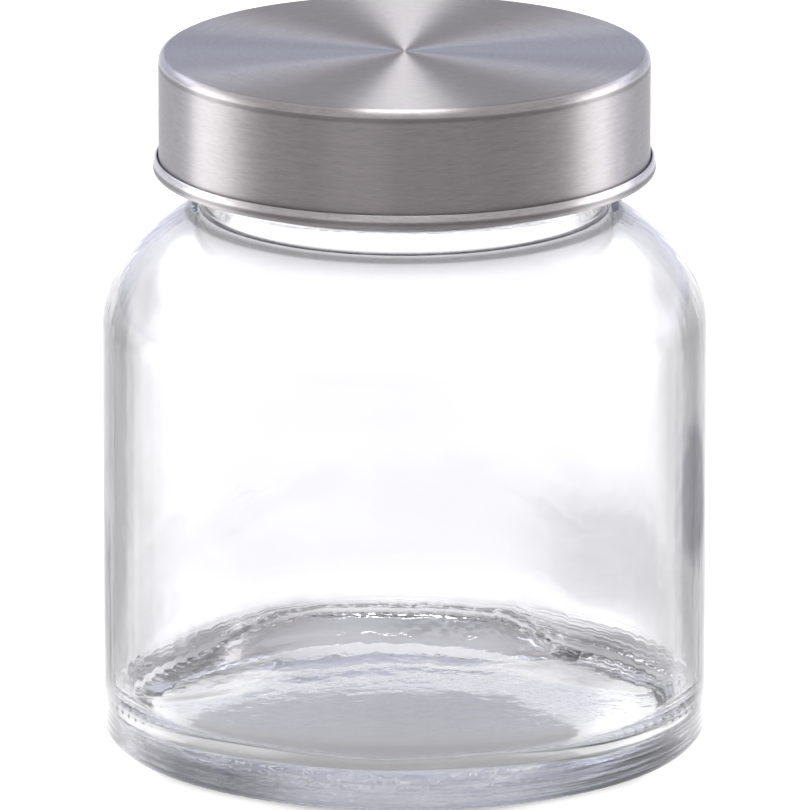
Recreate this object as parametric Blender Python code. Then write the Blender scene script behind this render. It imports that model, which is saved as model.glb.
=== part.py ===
"""Glass storage jar with a screw lid: a round glass body, and a brushed steel lid shell over a
white threaded cap with a soft seal ring in its ceiling.

Run it with blender --background --python part.py. Lengths are in metres and +Z is up. The origin
is the middle of the ring that the jar stands on, and +Z is the jar's axis.
"""
import math

import bmesh
import bpy
import numpy as np

# How finely round shapes are drawn
TURN_STEPS = 64
ARC_STEPS = 4
SHOULDER_STEPS = 9
DOME_STEPS = 4
# Edges sharper than this many degrees are shaded as edges
SHARP_ANGLE = 35.0

# One overrun serves every part of a ridge that is buried in the wall it stands on
BURIED = 0.0006
# Gap between pieces that sit on each other, and running gap between the two threads
SEAT_GAP = 0.0003
THREAD_GAP = 0.0003
# Profile points nearer than this share of the seat gap count as one
REPEAT_SHARE = 0.01

# Glass body, outside
BODY_RADIUS = 0.0525
HEEL_RADIUS = 0.0018
BEARING_WIDTH = 0.0032
PUSH_UP = 0.0035
SHOULDER_BOTTOM = 0.0732
SHOULDER_RUN = 0.040
SHOULDER_RISE = 0.0264
# Glass body, inside
WALL = 0.0018
FLOOR_HEIGHT = 0.0060
FLOOR_CROWN = 0.0010
FLOOR_CORNER = 0.0080
MOUTH_RADIUS = 0.0328
THROAT_ROUND = 0.0012
# Neck: the waist above the shoulder, the bead under the lid and the step out to the finish
NECK_WALL = 0.0026
WAIST_HEIGHT = 0.0030
WAIST_FILLET = 0.0010
BEAD_RISE = 0.0006
BEAD_HEIGHT = 0.0012
BEAD_OFFSET = 0.0012
FINISH_STEP = 0.0014
RIM_ROUND = 0.0012

# Quick four-start thread: each ridge falls a quarter of the lead in a quarter turn
THREAD_STARTS = 4
THREAD_LEAD = 0.020
THREAD_DEPTH = 0.0014
THREAD_DROP = 0.0018
THREAD_FOOT = 0.0053
JAR_RIDGE_TURN = 110.0
JAR_RIDGE_ROOT = 0.0026
JAR_RIDGE_CREST = 0.0013
CAP_RIDGE_TURN = 70.0
CAP_RIDGE_ROOT = 0.0024
CAP_RIDGE_CREST = 0.0012
RIDGE_RUN_OUT = 14.0
# Share of its height that a ridge keeps, buried, at its very ends
RIDGE_END_SHARE = 0.1
# The cap's ridges lie this share of a groove below the jar's
CAP_RIDGE_SHARE = 0.5

# Soft seal ring
SEAL_THICKNESS = 0.0014
SEAL_ROUND = 0.0003

# White inner cap
CAP_PLATE = 0.0018
CAP_WALL = 0.0013
CAP_FLANGE = 0.0011
CAP_FLANGE_REACH = 0.0021
CAP_LOWER_GAP = 0.0004
CAP_RIB_WIDTH = 0.0010
CAP_RIB_DEPTH = 0.0026
CAP_RIB_GAP = 0.0005
CAP_EDGE = 0.0004

# Steel lid shell
SHELL_SHEET = 0.0004
SHELL_CORNER = 0.0016
HEM_HEIGHT = 0.0026
HEM_GAP = 0.0006
LID_LOWER_GAP = 0.0006

# Radii that follow from the sizes above
SHOULDER_CENTRE = BODY_RADIUS - SHOULDER_RUN
WAIST_RADIUS = MOUTH_RADIUS + NECK_WALL
FINISH_RADIUS = WAIST_RADIUS + FINISH_STEP
JAR_CREST_RADIUS = FINISH_RADIUS + THREAD_DEPTH
CAP_BORE_RADIUS = JAR_CREST_RADIUS + THREAD_GAP
CAP_CREST_RADIUS = FINISH_RADIUS + THREAD_GAP
CAP_WALL_RADIUS = CAP_BORE_RADIUS + CAP_WALL
CAP_RADIUS = CAP_WALL_RADIUS + CAP_FLANGE_REACH
SHELL_RADIUS = CAP_RADIUS + SEAT_GAP + SHELL_SHEET
HEM_RADIUS = SHELL_RADIUS + HEM_GAP + SHELL_SHEET
RIB_RADIUS = MOUTH_RADIUS - CAP_RIB_GAP
SEAL_INNER = RIB_RADIUS + SEAT_GAP
SEAL_OUTER = CAP_BORE_RADIUS - SEAT_GAP

# Heights that follow
SHOULDER_END_COS = (WAIST_RADIUS + WAIST_FILLET - SHOULDER_CENTRE) / SHOULDER_RUN
SHOULDER_TOP = SHOULDER_BOTTOM + SHOULDER_RISE * math.sqrt(1 - SHOULDER_END_COS ** 2)
WAIST_BOTTOM = SHOULDER_TOP + WAIST_FILLET
BEAD_BOTTOM = WAIST_BOTTOM + WAIST_HEIGHT + BEAD_RISE
BEAD_TOP = BEAD_BOTTOM + BEAD_HEIGHT
JAR_RIDGE_FALL = THREAD_LEAD * JAR_RIDGE_TURN / 360
THREAD_BOTTOM = BEAD_TOP + THREAD_FOOT
JAR_RIDGE_TOP = THREAD_BOTTOM + JAR_RIDGE_FALL + 0.5 * JAR_RIDGE_ROOT
CAP_RIDGE_TOP = JAR_RIDGE_TOP - CAP_RIDGE_SHARE * THREAD_LEAD / THREAD_STARTS
RIM_HEIGHT = JAR_RIDGE_TOP + 0.5 * JAR_RIDGE_ROOT + THREAD_DROP + RIM_ROUND
SEAL_BOTTOM = RIM_HEIGHT + SEAT_GAP
SEAL_TOP = SEAL_BOTTOM + SEAL_THICKNESS
CEILING = SEAL_TOP + SEAT_GAP
CAP_TOP = CEILING + CAP_PLATE
SHELL_TOP = CAP_TOP + SEAT_GAP + SHELL_SHEET
LID_BOTTOM = BEAD_TOP + LID_LOWER_GAP
CAP_BOTTOM = LID_BOTTOM + CAP_LOWER_GAP


def clear_scene():
    """Remove every object of the open scene."""
    for obj in list(bpy.data.objects):
        bpy.data.objects.remove(obj, do_unlink=True)


def material(name, colour, roughness, metallic=0.0, transmission=0.0, ior=1.5, alpha=1.0):
    """One Principled material."""
    mat = bpy.data.materials.new(name)
    mat.use_nodes = True
    shader = mat.node_tree.nodes["Principled BSDF"]
    shader.inputs["Base Color"].default_value = (*colour, 1.0)
    shader.inputs["Roughness"].default_value = roughness
    shader.inputs["Metallic"].default_value = metallic
    shader.inputs["Transmission Weight"].default_value = transmission
    shader.inputs["IOR"].default_value = ior
    shader.inputs["Alpha"].default_value = alpha
    mat.diffuse_color = (*colour, alpha)
    return mat


def arc(centre, radii, start, end, steps=ARC_STEPS):
    """Points (r, z) on an ellipse's arc, from one angle in degrees to another."""
    angles = np.radians(np.linspace(start, end, steps + 1))
    return [(centre[0] + radii[0] * math.cos(a), centre[1] + radii[1] * math.sin(a))
            for a in angles]


def tidy_profile(points):
    """The same profile without points that repeat the one before them."""
    kept = [points[0]]
    for point in points[1:]:
        if math.dist(point, kept[-1]) > REPEAT_SHARE * SEAT_GAP:
            kept.append(point)
    return kept


def add_object(name, bm, mat):
    """A smooth-shaded object from a finished bmesh."""
    mesh = bpy.data.meshes.new(name)
    bmesh.ops.recalc_face_normals(bm, faces=bm.faces)
    bm.to_mesh(mesh)
    bm.free()
    mesh.shade_smooth()
    mesh.set_sharp_from_angle(angle=math.radians(SHARP_ANGLE))
    obj = bpy.data.objects.new(name, mesh)
    bpy.context.collection.objects.link(obj)
    if mat:
        obj.data.materials.append(mat)
    return obj


def turned(name, profile, mat):
    """A solid of revolution about Z: rings of the profile, closed at its points on the axis.

    A profile that ends on the axis closes there with a fan, and any other is a closed loop.
    """
    profile = tidy_profile(profile)
    open_ended = profile[0][0] == 0 and profile[-1][0] == 0
    bm = bmesh.new()
    rings = []
    for radius, height in profile:
        if radius == 0:
            rings.append([bm.verts.new((0, 0, height))])
            continue
        rings.append([bm.verts.new((radius * math.cos(a), radius * math.sin(a), height))
                      for a in np.linspace(0, 2 * math.pi, TURN_STEPS, endpoint=False)])
    pairs = list(zip(rings, rings[1:]))
    if not open_ended:
        pairs.append((rings[-1], rings[0]))
    for lower, upper in pairs:
        for i in range(TURN_STEPS):
            j = (i + 1) % TURN_STEPS
            corners = [lower[i % len(lower)], lower[j % len(lower)],
                       upper[j % len(upper)], upper[i % len(upper)]]
            bm.faces.new(list(dict.fromkeys(corners)))
    return add_object(name, bm, mat)


def thread_ridges(name, root, crest, root_width, crest_width, turn, top):
    """The ridges of the thread as one cutter.

    Each ridge is a trapezoid carried down a helix from the height top. Its crest sinks back to
    the root radius over the run-out at both ends. root is buried in the wall it stands on.
    """
    bm = bmesh.new()
    steps = round(turn / 360 * TURN_STEPS)
    for start in range(THREAD_STARTS):
        sections = []
        for step in range(steps + 1):
            along = turn * step / steps
            fade = min(1.0, along / RIDGE_RUN_OUT, (turn - along) / RIDGE_RUN_OUT)
            outer = root + (crest - root) * max(fade, RIDGE_END_SHARE)
            angle = math.radians(360 / THREAD_STARTS * start - along)
            height = top - THREAD_LEAD * along / 360
            section = [(root, -0.5 * root_width), (outer, -0.5 * crest_width),
                       (outer, 0.5 * crest_width), (root, 0.5 * root_width)]
            sections.append([bm.verts.new((r * math.cos(angle), r * math.sin(angle), height + z))
                             for r, z in section])
        for a, b in zip(sections, sections[1:]):
            for i in range(4):
                bm.faces.new([a[i], a[(i + 1) % 4], b[(i + 1) % 4], b[i]])
        bm.faces.new(sections[0])
        bm.faces.new(sections[-1])
    cutter = add_object(name, bm, None)
    cutter.hide_render = True
    cutter.display_type = "WIRE"
    return cutter


def unite(obj, cutter):
    """Add the cutter's solids to the object with an exact Boolean."""
    modifier = obj.modifiers.new("unite", "BOOLEAN")
    modifier.operation = "UNION"
    modifier.solver = "EXACT"
    modifier.object = cutter


def dome(radius, edge, rise, outward):
    """A shallow parabola from the axis to the radius, or back to the axis."""
    shares = np.linspace(0, 1, DOME_STEPS + 1)
    points = [(radius * s, edge + rise * (1 - s * s)) for s in shares]
    return points if outward else points[::-1]


def jar_profile():
    """The glass body's outline: underside, heel, wall, shoulder, neck, bore, wall and floor."""
    bearing_outer = BODY_RADIUS - HEEL_RADIUS
    bearing_inner = bearing_outer - BEARING_WIDTH
    shoulder_end = math.degrees(math.acos(SHOULDER_END_COS))
    points = dome(bearing_inner, 0, PUSH_UP, True)
    points += arc((bearing_outer, HEEL_RADIUS), (HEEL_RADIUS, HEEL_RADIUS), -90, 0)
    points += arc((SHOULDER_CENTRE, SHOULDER_BOTTOM), (SHOULDER_RUN, SHOULDER_RISE),
                  0, shoulder_end, SHOULDER_STEPS)
    points += [(WAIST_RADIUS, WAIST_BOTTOM), (WAIST_RADIUS, WAIST_BOTTOM + WAIST_HEIGHT)]
    bead_middle = 0.5 * (BEAD_BOTTOM + BEAD_TOP)
    points += arc((FINISH_RADIUS, bead_middle), (BEAD_OFFSET, 0.5 * BEAD_HEIGHT), -90, 90)
    rim_low = RIM_HEIGHT - RIM_ROUND
    points += arc((FINISH_RADIUS - RIM_ROUND, rim_low), (RIM_ROUND, RIM_ROUND), 0, 90)
    points += arc((MOUTH_RADIUS + RIM_ROUND, rim_low), (RIM_ROUND, RIM_ROUND), 90, 180)
    inner_run = SHOULDER_RUN - WALL
    inner_rise = SHOULDER_RISE - WALL
    throat_cos = (MOUTH_RADIUS + THROAT_ROUND - SHOULDER_CENTRE) / inner_run
    throat = SHOULDER_BOTTOM + inner_rise * math.sqrt(1 - throat_cos ** 2)
    points += [(MOUTH_RADIUS, throat + THROAT_ROUND)]
    points += arc((SHOULDER_CENTRE, SHOULDER_BOTTOM), (inner_run, inner_rise),
                  math.degrees(math.acos(throat_cos)), 0, SHOULDER_STEPS)
    flat = BODY_RADIUS - WALL - FLOOR_CORNER
    points += arc((flat, FLOOR_HEIGHT + FLOOR_CORNER), (FLOOR_CORNER, FLOOR_CORNER), 0, -90)
    points += dome(flat, FLOOR_HEIGHT, FLOOR_CROWN, False)
    return points


def build_jar():
    """The glass body with its thread."""
    glass = material("glass", (0.93, 0.95, 0.94), 0.03, transmission=1.0, alpha=0.35)
    jar = turned("jar_body", jar_profile(), glass)
    unite(jar, thread_ridges("jar_ridge_cutter", FINISH_RADIUS - BURIED, JAR_CREST_RADIUS,
                             JAR_RIDGE_ROOT, JAR_RIDGE_CREST, JAR_RIDGE_TURN, JAR_RIDGE_TOP))


def build_seal(parent):
    """The soft ring between the rim and the cap's ceiling."""
    soft = material("seal_silicone", (0.80, 0.80, 0.78), 0.45)
    corners = [(SEAL_OUTER, SEAL_BOTTOM, -90), (SEAL_OUTER, SEAL_TOP, 0),
               (SEAL_INNER, SEAL_TOP, 90), (SEAL_INNER, SEAL_BOTTOM, 180)]
    points = []
    for radius, height, start in corners:
        inset_r = -SEAL_ROUND if radius == SEAL_OUTER else SEAL_ROUND
        inset_z = -SEAL_ROUND if height == SEAL_TOP else SEAL_ROUND
        points += arc((radius + inset_r, height + inset_z), (SEAL_ROUND, SEAL_ROUND),
                      start, start + 90, 1)
    seal = turned("seal_ring", points, soft)
    seal.parent = parent


def build_cap(parent):
    """The white cap inside the shell: plate, locating rib, threaded wall and foot flange."""
    plastic = material("cap_plastic", (0.86, 0.87, 0.86), 0.40)
    rib_inner = RIB_RADIUS - CAP_RIB_WIDTH
    rib_bottom = CEILING - CAP_RIB_DEPTH
    points = [
        (0, CEILING),
        (rib_inner, CEILING),
        (rib_inner, rib_bottom + CAP_EDGE),
        (rib_inner + CAP_EDGE, rib_bottom),
        (RIB_RADIUS - CAP_EDGE, rib_bottom),
        (RIB_RADIUS, rib_bottom + CAP_EDGE),
        (RIB_RADIUS, CEILING),
        (CAP_BORE_RADIUS, CEILING),
        (CAP_BORE_RADIUS, CAP_BOTTOM + CAP_EDGE),
        (CAP_BORE_RADIUS + CAP_EDGE, CAP_BOTTOM),
        (CAP_RADIUS, CAP_BOTTOM),
        (CAP_RADIUS, CAP_BOTTOM + CAP_FLANGE),
        (CAP_WALL_RADIUS, CAP_BOTTOM + CAP_FLANGE + CAP_EDGE),
        (CAP_WALL_RADIUS, CAP_TOP - SHELL_CORNER - CAP_EDGE),
        (CAP_RADIUS, CAP_TOP - SHELL_CORNER),
    ]
    corner = SHELL_CORNER - SHELL_SHEET - SEAT_GAP
    points += arc((CAP_RADIUS - corner, CAP_TOP - corner), (corner, corner), 0, 90)
    points += [(0, CAP_TOP)]
    cap = turned("inner_cap", points, plastic)
    unite(cap, thread_ridges("cap_ridge_cutter", CAP_BORE_RADIUS + BURIED, CAP_CREST_RADIUS,
                             CAP_RIDGE_ROOT, CAP_RIDGE_CREST, CAP_RIDGE_TURN, CAP_RIDGE_TOP))
    cap.parent = parent


def build_shell(parent):
    """The brushed steel cover: flat top, rounded corner, skirt, and a hem folded outwards and up."""
    steel = material("brushed_steel", (0.62, 0.61, 0.60), 0.30, metallic=1.0)
    fold_middle = 0.5 * (SHELL_RADIUS - SHELL_SHEET + HEM_RADIUS)
    fold_outer = HEM_RADIUS - fold_middle
    fold_inner = 0.5 * HEM_GAP
    fold_height = LID_BOTTOM + fold_outer
    lip_top = LID_BOTTOM + HEM_HEIGHT
    inner_corner = SHELL_CORNER - SHELL_SHEET
    points = [(0, SHELL_TOP - SHELL_SHEET)]
    points += arc((SHELL_RADIUS - SHELL_CORNER, SHELL_TOP - SHELL_CORNER),
                  (inner_corner, inner_corner), 90, 0)
    points += arc((fold_middle, fold_height), (fold_outer, fold_outer), 180, 360, 2 * ARC_STEPS)
    points += arc((HEM_RADIUS - 0.5 * SHELL_SHEET, lip_top - 0.5 * SHELL_SHEET),
                  (0.5 * SHELL_SHEET, 0.5 * SHELL_SHEET), 0, 180, ARC_STEPS)
    points += arc((fold_middle, fold_height), (fold_inner, fold_inner), 360, 180)
    points += arc((SHELL_RADIUS - SHELL_CORNER, SHELL_TOP - SHELL_CORNER),
                  (SHELL_CORNER, SHELL_CORNER), 0, 90)
    points += [(0, SHELL_TOP)]
    shell = turned("lid_shell", points, steel)
    shell.parent = parent


def main():
    """Build the jar, and the lid's pieces on an empty on the screw axis."""
    clear_scene()
    axis = bpy.data.objects.new("lid_axis", None)
    bpy.context.collection.objects.link(axis)
    build_jar()
    build_seal(axis)
    build_cap(axis)
    build_shell(axis)


main()
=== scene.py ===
"""Glass storage jar with a brushed steel screw lid: the looks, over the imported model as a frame.

Laid out as a Blender add-on and run as a script. Each piece is a surface of revolution worked out
with numpy on a grid of rings and columns, with the thread, the foot's knurls and the glass's
unevenness added to its radius and height. Lengths are in metres, +Z is up along the jar's axis.
"""
import math

import bpy
import numpy as np
from bpy.props import FloatProperty, FloatVectorProperty, IntProperty, PointerProperty
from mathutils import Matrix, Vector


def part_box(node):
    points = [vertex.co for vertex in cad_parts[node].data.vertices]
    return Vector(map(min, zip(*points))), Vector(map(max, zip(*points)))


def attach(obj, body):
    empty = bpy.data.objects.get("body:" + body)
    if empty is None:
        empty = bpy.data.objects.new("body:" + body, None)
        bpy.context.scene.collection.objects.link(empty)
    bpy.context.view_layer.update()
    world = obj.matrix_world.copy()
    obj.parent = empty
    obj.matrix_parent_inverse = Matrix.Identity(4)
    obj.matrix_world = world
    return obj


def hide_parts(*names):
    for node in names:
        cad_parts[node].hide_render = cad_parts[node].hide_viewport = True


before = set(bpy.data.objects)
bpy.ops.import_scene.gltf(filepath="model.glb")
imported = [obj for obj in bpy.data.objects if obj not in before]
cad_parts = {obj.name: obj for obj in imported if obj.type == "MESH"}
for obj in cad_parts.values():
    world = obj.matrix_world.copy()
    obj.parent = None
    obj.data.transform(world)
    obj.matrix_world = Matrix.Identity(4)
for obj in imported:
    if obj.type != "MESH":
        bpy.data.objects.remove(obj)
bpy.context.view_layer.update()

bl_info = {
    "name": "Glass storage jar",
    "version": (1, 0, 0),
    "blender": (4, 5, 0),
    "location": "View3D > Sidebar > Jar",
    "description": "Builds a round glass jar, its screw lid and a plain studio stage",
    "category": "Object",
}

_, GLASS_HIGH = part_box("jar_body")
CAP_LOW, CAP_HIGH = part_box("inner_cap")
SEAL_LOW, SEAL_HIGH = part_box("seal_ring")
SHELL_LOW, SHELL_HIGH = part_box("lid_shell")


def length(name, default, text):
    """A length property, in metres."""
    return FloatProperty(name=name, description=text, default=default, min=0.0, precision=5,
                         subtype="DISTANCE", unit="LENGTH")


def angle(name, degrees, text):
    """An angle property, given in degrees."""
    return FloatProperty(name=name, description=text, default=math.radians(degrees),
                         subtype="ANGLE", unit="ROTATION")


def colour(name, default, text):
    """A linear colour property."""
    return FloatVectorProperty(name=name, description=text, default=default, size=3, min=0.0,
                               max=1.0, subtype="COLOR")


class GlassSizes(bpy.types.PropertyGroup):
    """Sizes of the glass body."""
    radius: length("Body radius", GLASS_HIGH.x, "Outside radius of the wall")
    rim_height: length("Rim height", GLASS_HIGH.z, "Height of the glass rim")
    heel: length("Heel", 0.0018, "Radius of the rounded outer lower edge")
    bearing: length("Bearing width", 0.0032, "Width of the ring that the jar stands on")
    push_up: length("Push-up", 0.0035, "Rise of the underside at the axis")
    shoulder_low: length("Shoulder start", 0.0732, "Height where the wall turns into the shoulder")
    shoulder_run: length("Shoulder run", 0.040, "Level half-axis of the shoulder's ellipse")
    shoulder_rise: length("Shoulder rise", 0.0264, "Upright half-axis of the shoulder's ellipse")
    wall: length("Wall", 0.0018, "Thickness of wall and shoulder")
    floor: length("Floor", 0.0060, "Height of the inner floor at its edge")
    floor_crown: length("Floor crown", 0.0010, "Rise of the inner floor at the axis")
    floor_corner: length("Floor corner", 0.0080, "Radius between inner wall and floor")
    mouth: length("Mouth radius", 0.0328, "Inside radius of the neck")
    throat: length("Throat rounding", 0.0012, "Rounding between neck and inner shoulder")
    waist: length("Waist radius", 0.0354, "Outside radius of the neck under the bead")
    fillet: length("Waist fillet", 0.0016, "Width of the rounding between shoulder and waist")
    fillet_rise: length("Waist fillet rise", 0.0006, "Height of the same rounding")
    bead_low: length("Bead start", 0.098969, "Lowest height of the bead under the lid")
    bead_high: length("Bead end", 0.100169, "Highest height of the bead")
    bead_out: length("Bead rise", 0.0012, "How far the bead stands out of the finish")
    bead_foot: length("Bead foot", 0.0006, "Height over which the waist flares out to the bead")
    finish: length("Finish radius", 0.0368, "Outside radius of the neck under the thread")
    rim_round: length("Rim rounding", 0.0012, "Radius of the rim's edges")
    knurls: IntProperty(name="Knurls", description="Grooves round the foot ring", default=104,
                        min=12, max=180)
    knurl_depth: length("Knurl depth", 0.00012, "Depth of the grooves in the foot ring")
    knurl_reach: length("Knurl reach", 0.0009, "How far the grooves run in from the heel")
    wall_wave: length("Wall waves", 0.00012, "Height of the inner wall's slow waves")
    floor_wave: length("Floor waves", 0.00025, "Height of the inner floor's slow waves")
    hump: length("Hump", 0.0032, "Rise of the inner corner at the back")
    dip: length("Dip", 0.0022, "Fall of the inner corner at both sides")
    flow: length("Flow marks", 0.00016, "Height of the ripples beside the hump")
    seam_depth: length("Seam depth", 0.00005, "Depth of the fine rings round the foot")
    seam_top: length("Seam top", 0.0070, "Height up to which the fine rings go")
    mould_ring: length("Mould rings", 0.00003, "Height of the rings in the underside")


class ThreadSizes(bpy.types.PropertyGroup):
    """Sizes of the four-start screw thread."""
    starts: IntProperty(name="Starts", description="Number of thread starts", default=4, min=1,
                        max=8)
    lead: length("Lead", 0.020, "Rise of the lid in one turn")
    depth: length("Depth", 0.0014, "Height of a ridge over its wall")
    jar_top: length("Jar ridge top", 0.112880, "Height of the upper end of the jar's ridges")
    cap_top: length("Cap ridge top", 0.110380, "Height of the upper end of the cap's ridges")
    jar_turn: angle("Jar ridge turn", 110.0, "How far a jar ridge runs round")
    cap_turn: angle("Cap ridge turn", 70.0, "How far a cap ridge runs round")
    run_out: angle("Run-out", 14.0, "Turn over which a ridge sinks at its ends")
    root: length("Ridge foot", 0.0026, "Width of a ridge at its foot")
    crest: length("Ridge crest", 0.0013, "Width of a ridge at its crest")


class LidSizes(bpy.types.PropertyGroup):
    """Sizes of the steel shell, the white cap in it and the seal."""
    shell_top: length("Lid top", SHELL_HIGH.z, "Height of the flat top")
    shell_low: length("Lid bottom", SHELL_LOW.z, "Height of the folded hem's lower edge")
    shell_radius: length("Skirt radius", 0.0426, "Outside radius of the skirt")
    hem_radius: length("Hem radius", SHELL_HIGH.x, "Outside radius of the folded hem")
    sheet: length("Sheet", 0.0004, "Thickness of the steel")
    corner: length("Top corner", 0.0016, "Outside radius between the top and the skirt")
    hem_height: length("Hem height", 0.0026, "Height of the hem folded up outside")
    hem_gap: length("Hem gap", 0.0006, "Gap between the skirt and the hem")
    hem_lean: length("Hem lean", 0.00035, "How far the hem's lip leans in to the skirt")
    cap_radius: length("Cap radius", CAP_HIGH.x, "Outside radius of the white cap")
    cap_top: length("Cap top", CAP_HIGH.z, "Height of the white cap's top")
    cap_low: length("Cap bottom", CAP_LOW.z, "Height of the white cap's lower edge")
    cap_bore: length("Cap bore", 0.0385, "Inside radius of the threaded wall")
    cap_wall: length("Cap wall", 0.0013, "Thickness of the threaded wall")
    ceiling: length("Ceiling", 0.119180, "Height of the cap's inner ceiling")
    flange: length("Flange", 0.0011, "Thickness of the foot flange")
    rib_radius: length("Rib radius", 0.0323, "Outside radius of the rib in the glass mouth")
    rib_width: length("Rib width", 0.0010, "Width of the rib")
    rib_depth: length("Rib depth", 0.0026, "How far the rib hangs under the ceiling")
    edge: length("Small edge", 0.0004, "Rounding of the cap's edges")
    seal_inner: length("Seal inner radius", 0.0326, "Inside radius of the seal")
    seal_outer: length("Seal outer radius", SEAL_HIGH.x, "Outside radius of the seal")
    seal_low: length("Seal bottom", SEAL_LOW.z, "Height of the seal's lower face")
    seal_high: length("Seal top", SEAL_HIGH.z, "Height of the seal's upper face")
    seal_edge: length("Seal edge", 0.0003, "Rounding of the seal's edges")


class Finishes(bpy.types.PropertyGroup):
    """Colours of the jar's materials and of the stage."""
    glass: colour("Glass", (0.942, 0.944, 0.950), "Tint of the clear glass")
    steel: colour("Steel", (0.465, 0.452, 0.455), "Colour of the brushed steel")
    plastic: colour("White plastic", (0.80, 0.81, 0.80), "Colour of the inner cap")
    silicone: colour("Silicone", (0.78, 0.78, 0.76), "Colour of the seal")
    floor_near: colour("Floor", (0.82, 0.82, 0.82), "Floor colour round and behind the jar")
    floor_front: colour("Floor in front", (0.40, 0.375, 0.385), "Floor colour in front of the jar")
    floor_glow: FloatProperty(name="Floor glow", description="Light that the floor gives itself",
                              default=0.63, min=0.0)
    side_glow: FloatProperty(name="Side glow", description="The same out to both sides",
                             default=3.2, min=0.0)


# Grids and profiles
def arc(centre, radii, start, end, steps):
    """Points (r, z) on an ellipse's arc: centre + radii * (cos, sin) of evenly spaced degrees."""
    turn = np.radians(np.linspace(start, end, steps + 1))
    return np.column_stack((centre[0] + radii[0] * np.cos(turn),
                            centre[1] + radii[1] * np.sin(turn)))


def bend(start, corner, end, steps):
    """Points of the parabola that leaves start towards corner and reaches end from it."""
    t = np.linspace(0.0, 1.0, steps + 1)[:, None]
    start, corner, end = map(np.asarray, (start, corner, end))
    return (1 - t) ** 2 * start + 2 * t * (1 - t) * corner + t ** 2 * end


def line(start, end, steps):
    """Evenly spaced points of a straight run."""
    return np.linspace(start, end, steps + 1)


def join(*runs):
    """One profile from several runs, without points that repeat the one before."""
    points = np.concatenate(runs)
    step = np.hypot(*np.diff(points, axis=0).T)
    return points[np.concatenate(([True], step > 1e-6))]


def smooth(value, low, high):
    """0 below low, 1 above high and 3t^2 - 2t^3 between them."""
    t = np.clip((value - low) / (high - low), 0.0, 1.0)
    return t * t * (3 - 2 * t)


def band(value, rise, fall):
    """A smooth step up over the pair rise times a smooth step down over the pair fall."""
    return smooth(value, *rise) * (1 - smooth(value, *fall))


def disc(radius, height, rings):
    """Points (r, z) of a level disc from near its middle out to its edge."""
    return np.column_stack((radius * np.linspace(0.0, 1.0, rings + 1)[1:],
                            np.full(rings, height)))


def even_turn(columns):
    """Evenly spaced angles round the axis."""
    return np.linspace(0.0, 2 * math.pi, columns, endpoint=False)


def spread(profile, turn):
    """The profile's radius and height, each as an array of rings by columns."""
    return (np.repeat(profile[:, :1], turn.size, axis=1),
            np.repeat(profile[:, 1:], turn.size, axis=1))


def turned_piece(name, radius, height, turn, loop):
    """The closed surface (r cos a, r sin a, z) over rings i and columns j.

    radius and height are arrays of rings by columns. A loop joins its last ring to its first;
    any other surface closes at a pole on the axis at either end. The profile runs so that its
    direction crossed with the turning direction points out of the solid.
    """
    rings, columns = radius.shape
    points = np.stack((radius * np.cos(turn), radius * np.sin(turn), height), axis=-1)
    points = points.reshape(-1, 3)
    here = np.arange(rings * columns).reshape(rings, columns)
    beside = np.roll(here, -1, axis=1)
    if loop:
        corners = (here, beside, np.roll(beside, -1, axis=0), np.roll(here, -1, axis=0))
    else:
        corners = (here[:-1], beside[:-1], beside[1:], here[1:])
    faces = np.stack(corners, axis=-1).reshape(-1, 4).tolist()
    if not loop:
        poles = [[0.0, 0.0, height[0].mean()], [0.0, 0.0, height[-1].mean()]]
        first = np.full(columns, rings * columns)
        faces += np.stack((first, beside[0], here[0]), axis=-1).tolist()
        faces += np.stack((here[-1], beside[-1], first + 1), axis=-1).tolist()
        points = np.concatenate((points, poles))
    mesh = bpy.data.meshes.new(name)
    mesh.from_pydata(points.tolist(), [], faces)
    mesh.update()
    mesh.shade_smooth()
    obj = bpy.data.objects.new(name, mesh)
    bpy.context.collection.objects.link(obj)
    return obj


def way_along(profile):
    """Each ring's way along the profile, in metres."""
    return np.concatenate(([0.0], np.cumsum(np.hypot(*np.diff(profile, axis=0).T))))


def store(obj, name, rings, columns):
    """Store one value a ring as a point attribute of a piece that closes at two poles."""
    values = np.concatenate((np.repeat(rings, columns), [rings[0], rings[-1]]))
    attribute = obj.data.attributes.new(name, "FLOAT", "POINT")
    attribute.data.foreach_set("value", values.astype(np.float32))


# Bands of polish on the steel, painted into its colour too: a positive weight is a painted
# highlight, a negative one painted shade. Where each one rises and falls, and its weight. The
# corner's are in heights over the skirt's end in units of its radius, the hem's in shares of its
# height
CORNER_PAINTED_LIGHT = (((0.03, 0.20), (0.88, 0.96), 0.65), ((-0.46, -0.32), (-0.03, 0.05), -1.0))
HEM_PAINTED_LIGHT = (((0.52, 0.64), (1.2, 1.3), 1.2), ((0.24, 0.32), (0.46, 0.54), -1.0))


def shell_painted_light(s, profile):
    """Painted highlight on the polished steel, 1, and painted shade, -1, by ring.

    A painted highlight on the rounded top corner and on the upper part of the hem's face, painted
    shade where the corner runs into the skirt and across the middle of the hem.
    """
    out, high = profile.T
    outside = np.arange(len(profile)) > len(profile) // 2
    corner = outside & (out > s.shell_radius - s.corner) & (high > s.shell_top - 2 * s.corner)
    hem = (out > s.hem_radius - 1.6 * s.sheet) & ~corner
    rise = (high - s.shell_top + s.corner) / s.corner
    part = (high - s.shell_low) / s.hem_height
    return sum(place * weight * band(value, up, down)
               for place, value, bands in ((corner, rise, CORNER_PAINTED_LIGHT), (hem, part, HEM_PAINTED_LIGHT))
               for up, down, weight in bands)


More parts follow.
